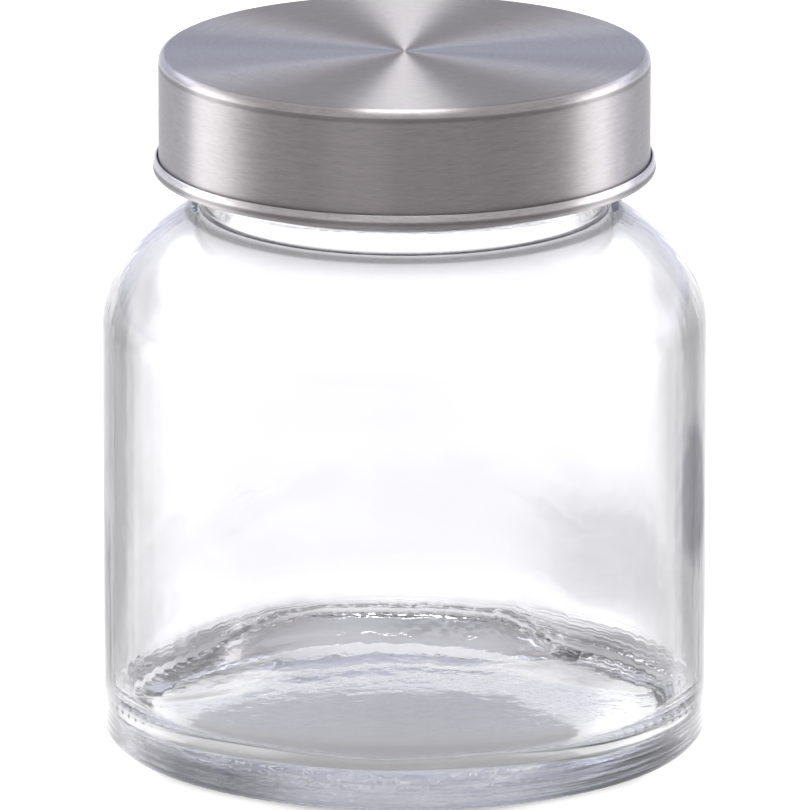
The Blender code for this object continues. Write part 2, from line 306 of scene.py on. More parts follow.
def ridge_height(turn, height, sizes, top, span, foot, crest):
    """Share of the thread's depth at each point of a wall, from 0 to 1.

    Each start falls clockwise from the height top at its own angle by lead / 360 a degree. The
    ridge is 1 across its crest, slopes smoothly to 0 at its foot and sinks over the run-out at
    both ends. Where ridges overlap the higher one counts.
    """
    share = np.zeros(np.broadcast(turn, height).shape)
    for start in range(sizes.starts):
        along = np.mod(2 * math.pi * start / sizes.starts - turn, 2 * math.pi)
        middle = top - sizes.lead * along / (2 * math.pi)
        slope = 1 - smooth(np.abs(height - middle), 0.5 * crest, 0.5 * foot)
        ends = np.clip(np.minimum(along, span - along) / sizes.run_out, 0.0, 1.0)
        share = np.maximum(share, slope * smooth(ends, 0.0, 1.0))
    return share


# The glass body
UNDERSIDE_RINGS, FLOOR_RINGS = 32, 18


def glass_profile(s):
    """The glass body's outline from the underside's pole to the inner floor's pole."""
    bearing_out = s.radius - s.heel
    bearing_in = bearing_out - s.bearing
    share = np.linspace(0.0, 1.0, UNDERSIDE_RINGS + 1)[1:]
    under = np.column_stack((bearing_in * share, s.push_up * (1 - share ** 2)))
    centre = (s.radius - s.shoulder_run, s.shoulder_low)
    end = math.degrees(math.acos((s.waist + s.fillet - centre[0]) / s.shoulder_run))
    outer = arc(centre, (s.shoulder_run, s.shoulder_rise), 0, end, 22)
    waist_low = outer[-1, 1] + s.fillet_rise
    bead_mid = 0.5 * (s.bead_low + s.bead_high)
    bead_half = 0.5 * (s.bead_high - s.bead_low)
    inner_run, inner_rise = s.shoulder_run - s.wall, s.shoulder_rise - s.wall
    throat_cos = (s.mouth + s.throat - centre[0]) / inner_run
    throat = s.shoulder_low + inner_rise * math.sqrt(1 - throat_cos ** 2)
    inner = arc(centre, (inner_run, inner_rise), math.degrees(math.acos(throat_cos)), 0, 17)
    flat = s.radius - s.wall - s.floor_corner
    floor_share = np.linspace(1.0, 0.0, FLOOR_RINGS + 1)[:-1]
    floor = np.column_stack((flat * floor_share, s.floor + s.floor_crown * (1 - floor_share ** 2)))
    rim_low = s.rim_height - s.rim_round
    return join(
        under,
        line((bearing_in, 0), (bearing_out, 0), 6),
        arc((bearing_out, s.heel), (s.heel, s.heel), -90, 0, 8),
        line((s.radius, s.heel), (s.radius, s.seam_top), 20),
        line((s.radius, s.seam_top), (s.radius, s.shoulder_low), 10),
        outer,
        bend(outer[-1], (s.waist, waist_low - 0.5 * s.fillet_rise), (s.waist, waist_low), 4),
        line((s.waist, waist_low), (s.waist, s.bead_low - s.bead_foot), 3),
        bend((s.waist, s.bead_low - s.bead_foot), (s.waist, s.bead_low - 0.2 * s.bead_foot),
             (s.finish, s.bead_low), 4),
        arc((s.finish, bead_mid), (s.bead_out, bead_half), -90, 90, 8),
        line((s.finish, s.bead_high), (s.finish, rim_low), 31),
        arc((s.finish - s.rim_round, rim_low), (s.rim_round, s.rim_round), 0, 90, 5),
        arc((s.mouth + s.rim_round, rim_low), (s.rim_round, s.rim_round), 90, 180, 5),
        line((s.mouth, rim_low), (s.mouth, throat + s.throat), 4),
        bend((s.mouth, throat + s.throat), (s.mouth, throat), inner[0], 4),
        inner,
        line((s.radius - s.wall, s.shoulder_low),
             (s.radius - s.wall, s.floor + s.floor_corner), 18),
        arc((flat, s.floor + s.floor_corner), (s.floor_corner, s.floor_corner), 0, -90, 16),
        floor,
    )


# The inner corner round the jar: bands of the angle in degrees, from 0 at the right to 90 at the
# back, for the hump, the two dips and the ripples beside the hump
HUMP_BAND = ((52.0, 66.0), (112.0, 152.0))
DIP_BANDS = (((6.0, 26.0), (48.0, 60.0), 0.8), ((134.0, 150.0), (166.0, 184.0), 0.7))
FLOW_BAND = ((40.0, 52.0), (66.0, 80.0))
# The inner wall's waves: share, waves a turn, radians a metre of height, and start
WALL_WAVES = ((0.45, 2, 38, 0.7), (0.30, 3, -61, 0.0), (0.25, 5, 95, 2.1))
# The inner floor's ripples and slow waves: radians a metre across and back, and start
FLOW_WAVES = ((1900, 700, 0.0), (-500, 2300, 1.0))
SLOW_WAVES = ((150, 60, 0.4), (-70, 95, 1.9))
# Wavelengths of the fine rings round the foot and of the rings in the underside
SEAM_WAVES = (0.00115, 0.0019)
MOULD_WAVE = 0.0065


def uneven(turn, height):
    """Slow waves of blown glass, about -1 to 1: a sum of cosines of the turn and the height."""
    return sum(share * np.cos(count * turn + rate * height + start)
               for share, count, rate, start in WALL_WAVES)


def phases(waves, across, back):
    """The phase of each wave at the points."""
    return [u * across + v * back + start for u, v, start in waves]


def corner_shift(s, turn):
    """Rise of the inner corner round the jar: a hump at the back and a dip at both sides.

    The hump is a smooth window of the angle, steep on the right. Elsewhere the corner lies lower,
    most of all at the sides, by a cosine of the angle.
    """
    degrees = np.degrees(turn)
    hump = band(degrees, *HUMP_BAND)
    around = 0.55 + 0.45 * np.cos(2 * turn)
    for rise, fall, share in DIP_BANDS:
        around = around + share * band(degrees, rise, fall)
    return s.hump * hump - s.dip * around * (1 - hump)


def build_glass(s, threads):
    """The glass body: its turned profile with knurls, thread and uneven inner face.

    The inner wall's radius and the inner floor's height get slow waves. Four columns serve one
    knurl: a flat, the groove's edge, its bottom and its other edge.
    """
    profile = glass_profile(s)
    pitch = 2 * math.pi / s.knurls
    turn = (np.arange(s.knurls)[:, None] * pitch + pitch * np.array([0, 0.36, 0.5, 0.64])).ravel()
    radius, height = spread(profile, turn)
    out, high = profile.T
    rows = np.arange(len(profile))

    finish = np.isclose(out, s.finish) & (high > s.bead_high)
    share = ridge_height(turn, height, threads, threads.jar_top, threads.jar_turn, threads.root,
                         threads.crest)
    radius += threads.depth * share * finish[:, None]

    groove = np.tile([0.0, 0.0, 1.0, 0.0], s.knurls)
    bearing_out = s.radius - s.heel
    bearing_in = bearing_out - s.bearing
    ring = (high < s.heel) * band(
        out, (bearing_out - 1.5 * s.knurl_reach, bearing_out - s.knurl_reach),
        (bearing_out + 0.3 * s.heel, bearing_out + 0.8 * s.heel))
    height += s.knurl_depth * ring[:, None] * groove

    foot = np.isclose(out, s.radius) & (high < s.seam_top)
    fine, coarse = (2 * math.pi * high / wave for wave in SEAM_WAVES)
    seams = 1 + 0.5 * (np.sin(fine) + 0.6 * np.sin(coarse + 1.0))
    seams *= band(high, (s.heel, 1.3 * s.heel), (0.7 * s.seam_top, s.seam_top))
    radius -= s.seam_depth * (foot * seams)[:, None]
    under = (rows < UNDERSIDE_RINGS) & (out < bearing_in)
    rings = np.sin(2 * math.pi * out / MOULD_WAVE) * band(
        out, (0.5 * bearing_in, 0.7 * bearing_in), (0.92 * bearing_in, bearing_in))
    height += s.mould_ring * (under * rings)[:, None]

    bore_row = np.flatnonzero(np.isclose(out, s.mouth))[-1]
    inside = rows > bore_row
    wall = inside & (high > s.floor + 0.5 * s.floor_corner)
    fade = smooth(rows, bore_row, bore_row + 12)
    radius -= s.wall_wave * uneven(turn, height) * (wall * fade)[:, None]

    low = inside & (high < s.floor + 2.5 * s.floor_corner)
    up = 1 - smooth(high, s.floor + 1.2 * s.floor_corner, s.floor + 2.5 * s.floor_corner)
    reach = (low * smooth(out, 0.40 * s.radius, 0.90 * s.radius) * up)[:, None]
    across, back = np.cos(turn) * radius, np.sin(turn) * radius
    height += reach * corner_shift(s, turn)
    beside = band(np.degrees(turn), *FLOW_BAND)
    ripple = np.prod(np.sin(phases(FLOW_WAVES, across, back)), axis=0)
    height += s.flow * reach * beside * ripple
    floor = inside & (high < s.floor + 0.5 * s.floor_corner)
    slow = np.mean(np.cos(phases(SLOW_WAVES, across, back)), axis=0)
    height += s.floor_wave * floor[:, None] * slow * smooth(profile[:, :1], 0.0, 0.2 * s.radius)
    return turned_piece("jar_glass", radius, height, turn, False)


# The lid's pieces
SHELL_COLUMNS, CAP_COLUMNS, SEAL_COLUMNS = 320, 288, 256
CAP_RIDGE = 0.92  # width of a cap ridge as a share of a jar ridge


def build_shell(s):
    """The steel shell: flat top, rounded corner, skirt, and a hem folded outwards and up."""
    middle = 0.5 * (s.shell_radius - s.sheet + s.hem_radius)
    fold_out, fold_in = s.hem_radius - middle, 0.5 * s.hem_gap
    fold = (middle, s.shell_low + fold_out)
    lip = s.shell_low + s.hem_height
    lean = (s.hem_radius - s.hem_lean, lip - 0.5 * s.sheet)
    inside = s.corner - s.sheet
    bend_at = (s.shell_radius - s.corner, s.shell_top - s.corner)
    profile = join(
        disc(bend_at[0], s.shell_top - s.sheet, 16),
        arc(bend_at, (inside, inside), 90, 0, 8),
        line((s.shell_radius - s.sheet, bend_at[1]), (s.shell_radius - s.sheet, fold[1]), 8),
        arc(fold, (fold_out, fold_out), 180, 360, 16),
        bend((s.hem_radius, fold[1]), (s.hem_radius, fold[1] + 0.5 * s.hem_height), lean, 8),
        arc((lean[0] - 0.5 * s.sheet, lean[1]), (0.5 * s.sheet, 0.5 * s.sheet), 20, 180, 8),
        bend((lean[0] - s.sheet, lean[1]), (s.hem_radius - s.sheet, fold[1] + 0.5 * s.hem_height),
             (s.hem_radius - s.sheet, fold[1]), 6),
        arc(fold, (fold_in, fold_in), 360, 180, 12),
        line((s.shell_radius, fold[1]), (s.shell_radius, bend_at[1]), 40),
        arc(bend_at, (s.corner, s.corner), 0, 90, 18),
        disc(bend_at[0], s.shell_top, 16)[::-1],
    )
    turn = even_turn(SHELL_COLUMNS)
    radius, height = spread(profile, turn)
    obj = turned_piece("lid_steel", radius, height, turn, False)
    store(obj, "across", way_along(profile), turn.size)
    # The polished corner and hem, with their painted highlight and painted shade, stored by ring
    store(obj, "polish_and_painted_light", shell_painted_light(s, profile), turn.size)
    return obj


def build_cap(s, threads):
    """The white cap: ceiling, locating rib, threaded wall, foot flange and flat top."""
    bore, outer_wall = s.cap_bore, s.cap_bore + s.cap_wall
    corner = s.corner - s.sheet - (s.shell_radius - s.sheet - s.cap_radius)
    rib_in, rib_low = s.rib_radius - s.rib_width, s.ceiling - s.rib_depth
    seat = s.shell_top - s.sheet - s.cap_top
    shoulder = s.cap_top - s.corner
    profile = join(
        disc(rib_in, s.ceiling, 8),
        line((rib_in, s.ceiling), (rib_in, rib_low + s.edge), 3),
        arc((rib_in + s.edge, rib_low + s.edge), (s.edge, s.edge), 180, 270, 4),
        arc((s.rib_radius - s.edge, rib_low + s.edge), (s.edge, s.edge), 270, 360, 4),
        line((s.rib_radius, rib_low + s.edge), (s.rib_radius, s.ceiling), 3),
        line((s.rib_radius, s.ceiling), (bore, s.ceiling), 3),
        line((bore, s.ceiling), (bore, s.cap_low + s.edge), 48),
        bend((bore, s.cap_low + s.edge), (bore, s.cap_low), (bore + s.edge, s.cap_low), 3),
        line((bore + s.edge, s.cap_low), (s.cap_radius, s.cap_low), 3),
        line((s.cap_radius, s.cap_low), (s.cap_radius, s.cap_low + s.flange), 3),
        bend((s.cap_radius, s.cap_low + s.flange), (outer_wall, s.cap_low + s.flange),
             (outer_wall, s.cap_low + s.flange + s.edge), 4),
        line((outer_wall, s.cap_low + s.flange + s.edge), (outer_wall, shoulder - s.edge), 8),
        line((outer_wall, shoulder - s.edge), (s.cap_radius, shoulder), 3),
        line((s.cap_radius, shoulder), (s.cap_radius, s.cap_top - corner), 2),
        arc((s.cap_radius - corner, s.cap_top - corner), (corner, corner), 0, 90, 6),
        disc(s.cap_radius - corner, s.cap_top, 8)[::-1],
    )
    turn = even_turn(CAP_COLUMNS)
    radius, height = spread(profile, turn)
    wall = np.isclose(profile[:, 0], bore) & (profile[:, 1] < s.ceiling - seat)
    share = ridge_height(turn, height, threads, threads.cap_top, threads.cap_turn,
                         CAP_RIDGE * threads.root, CAP_RIDGE * threads.crest)
    radius -= threads.depth * share * wall[:, None]
    return turned_piece("lid_cap_white", radius, height, turn, False)


def build_seal(s):
    """The soft ring: a rectangle with rounded edges carried round the axis."""
    r = s.seal_edge
    profile = join(
        arc((s.seal_outer - r, s.seal_low + r), (r, r), -90, 0, 4),
        arc((s.seal_outer - r, s.seal_high - r), (r, r), 0, 90, 4),
        line((s.seal_outer - r, s.seal_high), (s.seal_inner + r, s.seal_high), 6),
        arc((s.seal_inner + r, s.seal_high - r), (r, r), 90, 180, 4),
        arc((s.seal_inner + r, s.seal_low + r), (r, r), 180, 270, 4),
        line((s.seal_inner + r, s.seal_low), (s.seal_outer - 1.2 * r, s.seal_low), 6),
    )
    turn = even_turn(SEAL_COLUMNS)
    radius, height = spread(profile, turn)
    return turned_piece("lid_seal", radius, height, turn, True)


# Materials
class Nodes:
    """A node tree with short calls to add and link nodes."""

    def __init__(self, tree):
        self.tree = tree

    def add(self, kind, inputs=(), **settings):
        """A node with its settings; inputs pairs socket names or numbers with values or links."""
        node = self.tree.nodes.new(kind)
        for key, value in settings.items():
            setattr(node, key, value)
        for key, value in dict(inputs).items():
            self.put(node.inputs[key], value)
        return node

    def put(self, socket, value):
        """Link an output to the socket, or set its value."""
        if isinstance(value, bpy.types.NodeSocket):
            self.tree.links.new(value, socket)
        else:
            socket.default_value = value

    def math(self, operation, a, b=0.0):
        """One Math node's result."""
        return self.add("ShaderNodeMath", {0: a, 1: b}, operation=operation).outputs[0]

    def times(self, first, *others):
        """The product of several values."""
        for other in others:
            first = self.math("MULTIPLY", first, other)
        return first

    def plus(self, first, *others):
        """The sum of several values."""
        for other in others:
            first = self.math("ADD", first, other)
        return first

    def off(self, value, middle):
        """How far a value is from a middle."""
        return self.math("ABSOLUTE", self.math("SUBTRACT", value, middle))

    def product(self, places, steps):
        """The product of numbers and of smooth steps, each of a named place."""
        return self.times(*(step if isinstance(step, float) else
                            self.step(places[step[0]], *step[1:]) for step in steps))

    def vector(self, operation, a, b=(0.0, 0.0, 0.0), result="Vector"):
        """One Vector Math node's result, a vector or a value."""
        return self.add("ShaderNodeVectorMath", {0: a, 1: b}, operation=operation).outputs[result]

    def split(self, vector):
        """The three parts of a vector."""
        return self.add("ShaderNodeSeparateXYZ", {0: vector}).outputs

    def noise(self, vector, scale, detail=2.0, rough=0.5):
        """A noise texture's factor at the vector."""
        return self.add("ShaderNodeTexNoise", {"Vector": vector, "Scale": scale, "Detail": detail,
                                               "Roughness": rough}).outputs["Fac"]

    def ramp(self, factor, low, high, bottom, top):
        """A factor from low to high mapped to values or colours from bottom to top."""
        kind = "FLOAT" if isinstance(bottom, float) else "FLOAT_VECTOR"
        names = ("From Min", "From Max", "To Min", "To Max")
        node = self.add("ShaderNodeMapRange", data_type=kind)
        if kind == "FLOAT":
            self.put(node.inputs["Value"], factor)
            for key, value in zip(names, (low, high, bottom, top)):
                self.put(node.inputs[key], value)
            return node.outputs["Result"]
        self.put(node.inputs["Vector"], factor)
        for key, value in zip(names, ((low,) * 3, (high,) * 3, bottom, top)):
            for socket in node.inputs:
                if socket.name == key and socket.type == "VECTOR":
                    self.put(socket, value)
        return node.outputs["Vector"]

    def mix(self, factor, first, second):
        """The colour between two colours or links at the factor."""
        node = self.add("ShaderNodeMix", {0: factor}, data_type="RGBA")
        slots = [socket for socket in node.inputs if socket.type == "RGBA"]
        for slot, value in zip(slots, (first, second)):
            self.put(slot, (*value, 1.0) if isinstance(value, tuple) else value)
        return [socket for socket in node.outputs if socket.type == "RGBA"][0]

    def stops(self, factor, stops):
        """A colour ramp's colour at the factor, from pairs of position and colour."""
        node = self.add("ShaderNodeValToRGB", {"Fac": factor})
        band = node.color_ramp.elements
        while len(band) < len(stops):
            band.new(0.5)
        for element, (position, shade) in zip(band, stops):
            element.position = position
            element.color = (*shade, 1.0)
        return node.outputs["Color"]

    def principled(self, **values):
        """Set or link the Principled shader's sockets by name, with _ for a space."""
        for key, value in values.items():
            self.put(self.tree.nodes["Principled BSDF"].inputs[key.replace("_", " ")], value)

    def step(self, value, low, high, bottom=0.0, top=1.0):
        """A smooth step from bottom to top as the value goes from low to high, or down to it."""
        if low > high:
            low, high, bottom, top = high, low, top, bottom
        return self.add("ShaderNodeMapRange", {"Value": value, "From Min": low, "From Max": high,
                                               "To Min": bottom, "To Max": top},
                        interpolation_type="SMOOTHSTEP").outputs["Result"]

    def bump(self, height, strength, distance):
        """A bump node's normal from a height."""
        return self.add("ShaderNodeBump", {"Height": height, "Strength": strength,
                                           "Distance": distance}).outputs["Normal"]


def new_material(name):
    """A material and its node helper."""
    material = bpy.data.materials.new(name)
    material.use_nodes = True
    return material, Nodes(material.node_tree)


def object_point(n):
    """The point in the object's own coordinates, which are the jar's."""
    return n.add("ShaderNodeTexCoord").outputs["Object"]


# Painted shade that greys the glass's tint by how edge on it is seen: pairs of facing and share
EDGE_PAINTED_SHADE = ((0.28, 1.0), (0.36, 0.96), (0.45, 0.80), (0.53, 0.58), (0.63, 0.60), (0.74, 0.12),
              (1.0, 0.05))
# The inside of the base, where the painted edge shade doesn't count, and its mottled part. Like
# all
# the tables of steps below: numbers, and smooth steps of a place from one value to another, in
# metres
INNER_BASE = (("high", 0.020, 0.014), ("out", 0.0500, 0.0488))
MOTTLED_BASE = (2.2, ("high", 0.0130, 0.0085), ("out", 0.050, 0.044))
# Painted shade on the glass: where its tint is greyed, and by what share
GLASS_PAINTED_SHADE = {
    "painted shade in the bend under the waist": (0.50, ("high", 0.0905, 0.0945), ("high", 0.0946, 0.0940)),
    "painted shade in the crease of the bend": (0.70, ("high", 0.0933, 0.0937), ("high", 0.0944, 0.0940)),
    "heel": (0.84, ("high", 0.0084, 0.0038), ("out", 0.0500, 0.0508),
             ("side", 0.014, 0.034, 0.34, 1.0), ("side", 0.041, 0.050, 1.0, 0.5)),
    "painted shade in strands round the heel": (("strands", 0.45, 0.56), ("high", 0.0098, 0.0066),
                               ("out", 0.0500, 0.0508), ("x", 0.014, 0.036, 0.12, 0.86)),
    "painted shade on the fold at the back of the base": (0.75, ("grains", 0.38, 0.56), ("high", 0.0048, 0.0056),
                                     ("out", 0.0436, 0.0442), ("out", 0.0456, 0.0449),
                                     ("y", 0.006, 0.020)),
    "painted shade on the crumpled patch before it": (0.50, ("grains", 0.38, 0.56), ("high", 0.0048, 0.0056),
                                 ("x", -0.008, 0.004), ("x", 0.032, 0.020),
                                 ("y", 0.029, 0.034), ("out", 0.0436, 0.0425)),
}
# The heel's painted shade is centred at x = HEEL_MIDDLE; LEVEL is the upright part of the normal
# over which the painted edge shade fades out
HEEL_MIDDLE, LEVEL = 0.003, (0.03, 0.45)
STRAND_SCALE, GRAIN_SCALE, MOTTLE_SCALE = (45.0, 45.0, 2300.0), 620.0, 240.0


def glass_material(tint):
    """Clear glass: smooth, with a faint orange-peel, and greyed by painted shade where it is seen
    edge on.

    Painted shade greys it further at the places in its table of painted shade, and a thin
    absorption greys the long ways through the base.
    """
    material, n = new_material("clear_glass")
    point = object_point(n)
    x, y, high = n.split(point)
    out = n.vector("LENGTH", n.vector("MULTIPLY", point, (1.0, 1.0, 0.0)), result="Value")
    places = {"x": x, "y": y, "high": high, "out": out, "side": n.off(x, HEEL_MIDDLE),
              "strands": n.noise(n.vector("MULTIPLY", point, STRAND_SCALE), 1.0),
              "grains": n.noise(point, GRAIN_SCALE)}
    facing = n.add("ShaderNodeLayerWeight", {"Blend": 0.5}).outputs["Facing"]
    slope = n.split(n.add("ShaderNodeNewGeometry").outputs["Normal"])[2]
    level = n.math("MAXIMUM", n.step(n.off(slope, 0.0), *LEVEL),
                   n.product(places, INNER_BASE))
    # Painted shade: the tint greyed where the glass is seen edge on, but not where it lies level
    edge = n.stops(facing, [(at, tuple(c * share for c in tint)) for at, share in EDGE_PAINTED_SHADE])
    clear = n.mix(level, edge, tuple(tint))
    # Painted shade: the tint greyed towards black at each place of the table
    for steps in GLASS_PAINTED_SHADE.values():
        clear = n.mix(n.product(places, steps), clear, (0.0, 0.0, 0.0))
    haze = n.ramp(n.noise(point, 26.0, 3.0), 0.35, 0.8, 0.0, 0.02)
    mottled = n.times(n.noise(point, MOTTLE_SCALE, 3.0), n.product(places, MOTTLED_BASE))
    n.principled(Base_Color=clear, Roughness=haze, IOR=1.5, Transmission_Weight=1.0,
                 Normal=n.bump(n.plus(n.noise(point, 90.0), mottled), 0.12, 0.0006))
    depth = n.add("ShaderNodeVolumeAbsorption", {"Color": (0.68, 0.69, 0.715, 1.0),
                                                 "Density": 8.0}).outputs[0]
    n.put(n.tree.nodes["Material Output"].inputs["Volume"], depth)
    return material


# The brushing of the steel: how often its lines break round the turn and how close they lie
FINE_LINES = (24.0, 5000.0, 2.0)
COARSE_LINES = (7.0, 1500.0, 3.0)
FINE_SHARE = 0.55


def steel_material(tint):
    """Turned and brushed steel: fine lines round the axis on top and round the skirt.

    The lines are noise over (cos a, sin a, way along the profile), stretched along the turn, and
    drive the roughness, the colour and a fine bump. The anisotropy turns the gloss across them.
    The stored polish smooths the polished edges and paints their light into the colour: a painted
    highlight on them and painted shade beside them.
    """
    material, n = new_material("brushed_steel")
    x, y, _ = n.split(object_point(n))
    angle = n.math("ARCTAN2", y, x)
    across = n.add("ShaderNodeAttribute", attribute_name="across").outputs["Fac"]
    polish_and_painted_light = n.add("ShaderNodeAttribute", attribute_name="polish_and_painted_light").outputs["Fac"]

    def streaks(stretch, fineness, detail):
        vector = n.add("ShaderNodeCombineXYZ", {
            0: n.times(n.math("COSINE", angle), stretch),
            1: n.times(n.math("SINE", angle), stretch), 2: n.times(across, fineness)}).outputs[0]
        return n.noise(vector, 1.0, detail, 0.6)

    lines = n.plus(n.times(streaks(*FINE_LINES), FINE_SHARE),
                   n.times(streaks(*COARSE_LINES), 1.0 - FINE_SHARE))
    dark = tuple(0.80 * c for c in tint)
    light = tuple(min(1.0, 1.16 * c) for c in tint)
    # Painted highlight and painted shade: the base colour raised on the polished edges and lowered
    # beside them
    painted_light_gain = n.plus(n.ramp(polish_and_painted_light, 0.0, 2.0, 1.0, 2.3), n.ramp(polish_and_painted_light, -1.0, 0.0, -0.32, 0.0))
    tone = n.vector("MULTIPLY", n.mix(n.ramp(lines, 0.3, 0.7, 0.0, 1.0), dark, light), painted_light_gain)
    rough = n.math("SUBTRACT", n.ramp(lines, 0.3, 0.7, 0.36, 0.44),
                   n.ramp(polish_and_painted_light, 0.0, 1.0, 0.0, 0.10))
    tangent = n.add("ShaderNodeTangent", direction_type="RADIAL", axis="Z").outputs[0]
    n.principled(Base_Color=tone, Metallic=1.0, Roughness=rough,
                 Anisotropic=1.0, Anisotropic_Rotation=0.25, Tangent=tangent,
                 Normal=n.bump(lines, 0.25, 0.00003))
    return material


def moulded_material(name, tint, dark, blotches, grain, rough, ior, bump, clear=0.0):
    """Moulded plastic or silicone: soft blotches down to the dark share, and a fine grain."""
    material, n = new_material(name)
    point = object_point(n)
    skin = n.noise(point, grain)
    tone = n.ramp(n.noise(point, blotches), 0.3, 0.7, tuple(dark * c for c in tint), tuple(tint))
    n.principled(Base_Color=tone, Roughness=n.ramp(skin, 0.3, 0.7, *rough), IOR=ior,
                 Transmission_Weight=clear, Normal=n.bump(skin, 0.2, bump))
    return material


# The floor's tones and light by place: x, y, forward (towards the camera), aside (off the middle),
# away (from the axis), bearing and turned (radians, 0 towards the camera, the right positive)
FLOOR = {
    "grey": (("forward", 0.055, 0.12),),
    "paler": (("bearing", -0.75, -0.50), ("bearing", -0.05, -0.25)),
    "darker": (("bearing", 0.50, 0.75), ("bearing", 1.25, 1.05)),
    "corners": (("turned", 2.02, 2.25), ("turned", 2.86, 2.72), ("away", 0.22, 0.42)),
    "left": (("bearing", -2.06, -1.90), ("bearing", -1.15, -1.80)),
    "right": (("bearing", 1.35, 1.75), ("bearing", 2.00, 1.80)),
    "near": (("away", 0.045, 0.16, 0.0, 0.4),), "far": (("away", 0.12, 0.48, 0.0, 0.6),),
    "nick": (0.009, ("y", -0.024, -0.042), ("aside", 0.028, 0.014)),
    "rim": (0.8, ("rim_x", 0.034, 0.042), ("rim_x", 0.078, 0.064), ("rim_y", 0.032, 0.016)),
    "ring": (0.22, ("away", 0.046, 0.054), ("away", 0.100, 0.058)),
    "far end": (("y", 0.19, 0.28, 0.0, 0.14),),
    "patch": (("patch", 0.036, 0.062),), "weak patch": (("weak", 0.020, 0.070, 0.84, 1.0),),
    "dim patch": (("x", 0.018, 0.040), ("x", 0.058, 0.050), ("y", 0.055, 0.095),
                  ("y", 0.185, 0.125)),
}
FLOOR_SHADES = {"paler": 1.35, "darker": 0.82, "corners": 0.68}
PATCH_COLOUR, PATCH_AT, WEAK_AT = (0.42, 0.425, 0.455), (0.138, 0.128, 0.0), (-0.135, 0.195, 0.0)
RIM_MIDDLE = (-0.004, -0.003)
# The spot under the jar: where it ends, and the rounded square in it, a painted shadow, with its
# middle, half widths, edge and light
UNDER = (0.040, 0.054)
SHADOW_SQUARE_MIDDLE, SHADOW_SQUARE_HALF, SHADOW_SQUARE_EDGE = (-0.004, -0.027), (0.034, 0.041), (0.90, 1.10)
SHADOW_SQUARE_LIGHT = (-0.045, 0.005, 0.32, 0.34)


def floor_material(near, front, glow, side_glow):
    """Pale matt floor, greyer in front, with a glow that is strongest out to both sides.

    Tones and light are products of smooth steps of place. The dim square under the jar, a painted
    shadow, is where |x|^3 + |y|^3, in units of its half widths and made ragged by noise, is under
    1.
    """
    material, n = new_material("pale_floor")
    point = object_point(n)
    x, y, _ = n.split(point)
    forward = n.times(y, -1.0)
    bearing = n.math("ARCTAN2", x, forward)
    away = n.vector("LENGTH", point, result="Value")
    places = {"x": x, "y": y, "forward": forward, "bearing": bearing, "away": away,
              "turned": n.off(bearing, 0.0), "aside": n.off(x, 0.0),
              "rim_x": n.off(x, RIM_MIDDLE[0]), "rim_y": n.off(y, RIM_MIDDLE[1]),
              "patch": n.vector("DISTANCE", point, PATCH_AT, "Value"),
              "weak": n.vector("DISTANCE", point, WEAK_AT, "Value")}
    part = {name: n.product(places, steps) for name, steps in FLOOR.items()}
    tone = tuple(front)
    for name in ("paler", "darker"):
        tone = n.mix(part[name], tone, tuple(FLOOR_SHADES[name] * c for c in front))
    tone = n.mix(part["grey"], tuple(near), tone)
    tone = n.mix(part["corners"], tone, tuple(FLOOR_SHADES["corners"] * c for c in near))
    tone = n.mix(part["patch"], PATCH_COLOUR, tone)

    inner = n.math("SUBTRACT", away, part["nick"])
    sides = n.times(n.plus(part["left"], part["right"]), n.plus(part["near"], part["far"]))
    light = n.times(n.ramp(sides, 0.0, 1.0, glow, side_glow), n.step(inner, *UNDER))
    square = (n.math("POWER", n.math("DIVIDE", n.off(value, middle), half), 3.0)
              for value, middle, half in zip((x, y), SHADOW_SQUARE_MIDDLE, SHADOW_SQUARE_HALF))
    ragged = n.ramp(n.noise(point, 160.0, 4.0), 0.3, 0.7, -0.12, 0.12)
    # Painted shadow under the jar: the floor's glow dimmed in a ragged rounded square
    below = n.times(n.step(inner, *reversed(UNDER)),
                    n.step(n.plus(*square, ragged), *SHADOW_SQUARE_EDGE, n.step(y, *SHADOW_SQUARE_LIGHT), 1.0))
    light = n.plus(light, below, part["rim"], part["ring"], part["far end"])
    light = n.times(light, n.ramp(part["dim patch"], 0.0, 1.0, 1.0, 0.25), part["weak patch"],
                    n.ramp(n.noise(point, 14.0, 1.0), 0.35, 0.65, 0.88, 1.0))
    n.principled(Base_Color=tone, Roughness=0.9, Specular_IOR_Level=0.0,
                 Emission_Color=tone, Emission_Strength=light)
    return material


# The room's light by direction: its x, y and z, aside and off (from the middle, and from a line
# left of it), bearing, and fan, which is x over the distance before the back
AIR = {
    "room": (("y", 0.0, 0.95, 0.48, 0.82), ("z", 0.0, 0.03, 0.8, 1.0)),
    "dim belt": (0.30, ("z", 0.10, 0.16), ("z", 0.36, 0.30), ("off", 0.25, 0.45)),
    "bright belt": (("z", 0.32, 0.42), ("z", 0.58, 0.48), ("aside", 0.33, 0.46),
                    ("x", -0.1, 0.1, 2.4, 1.55), ("y", 0.0, 0.95)),
    "overhead": (("fan", -0.20, -0.15), ("fan", 0.28, 0.06), ("z", 0.84, 0.96),
                 ("y", -0.20, 0.10)),
    "left": (1.4, ("bearing", -2.15, -1.95), ("bearing", -1.15, -1.80), ("z", 0.60, 0.40)),
    "right": (1.4, ("bearing", 1.35, 1.75), ("bearing", 2.30, 2.05), ("z", 0.60, 0.40)),
    "back": (("y", 0.0, 0.95),), "high": (("z", 0.42, 0.60),),
}
AIR_COLOURS = {"front": (1.0, 0.96, 0.975), "back": (0.82, 0.845, 1.01),
               "high": (0.88, 0.885, 0.95), "overhead": (0.98, 0.98, 1.0)}
OVERHEAD_LIGHT, FAN_END, OFF_LINE = 5.8, 0.95, -0.15


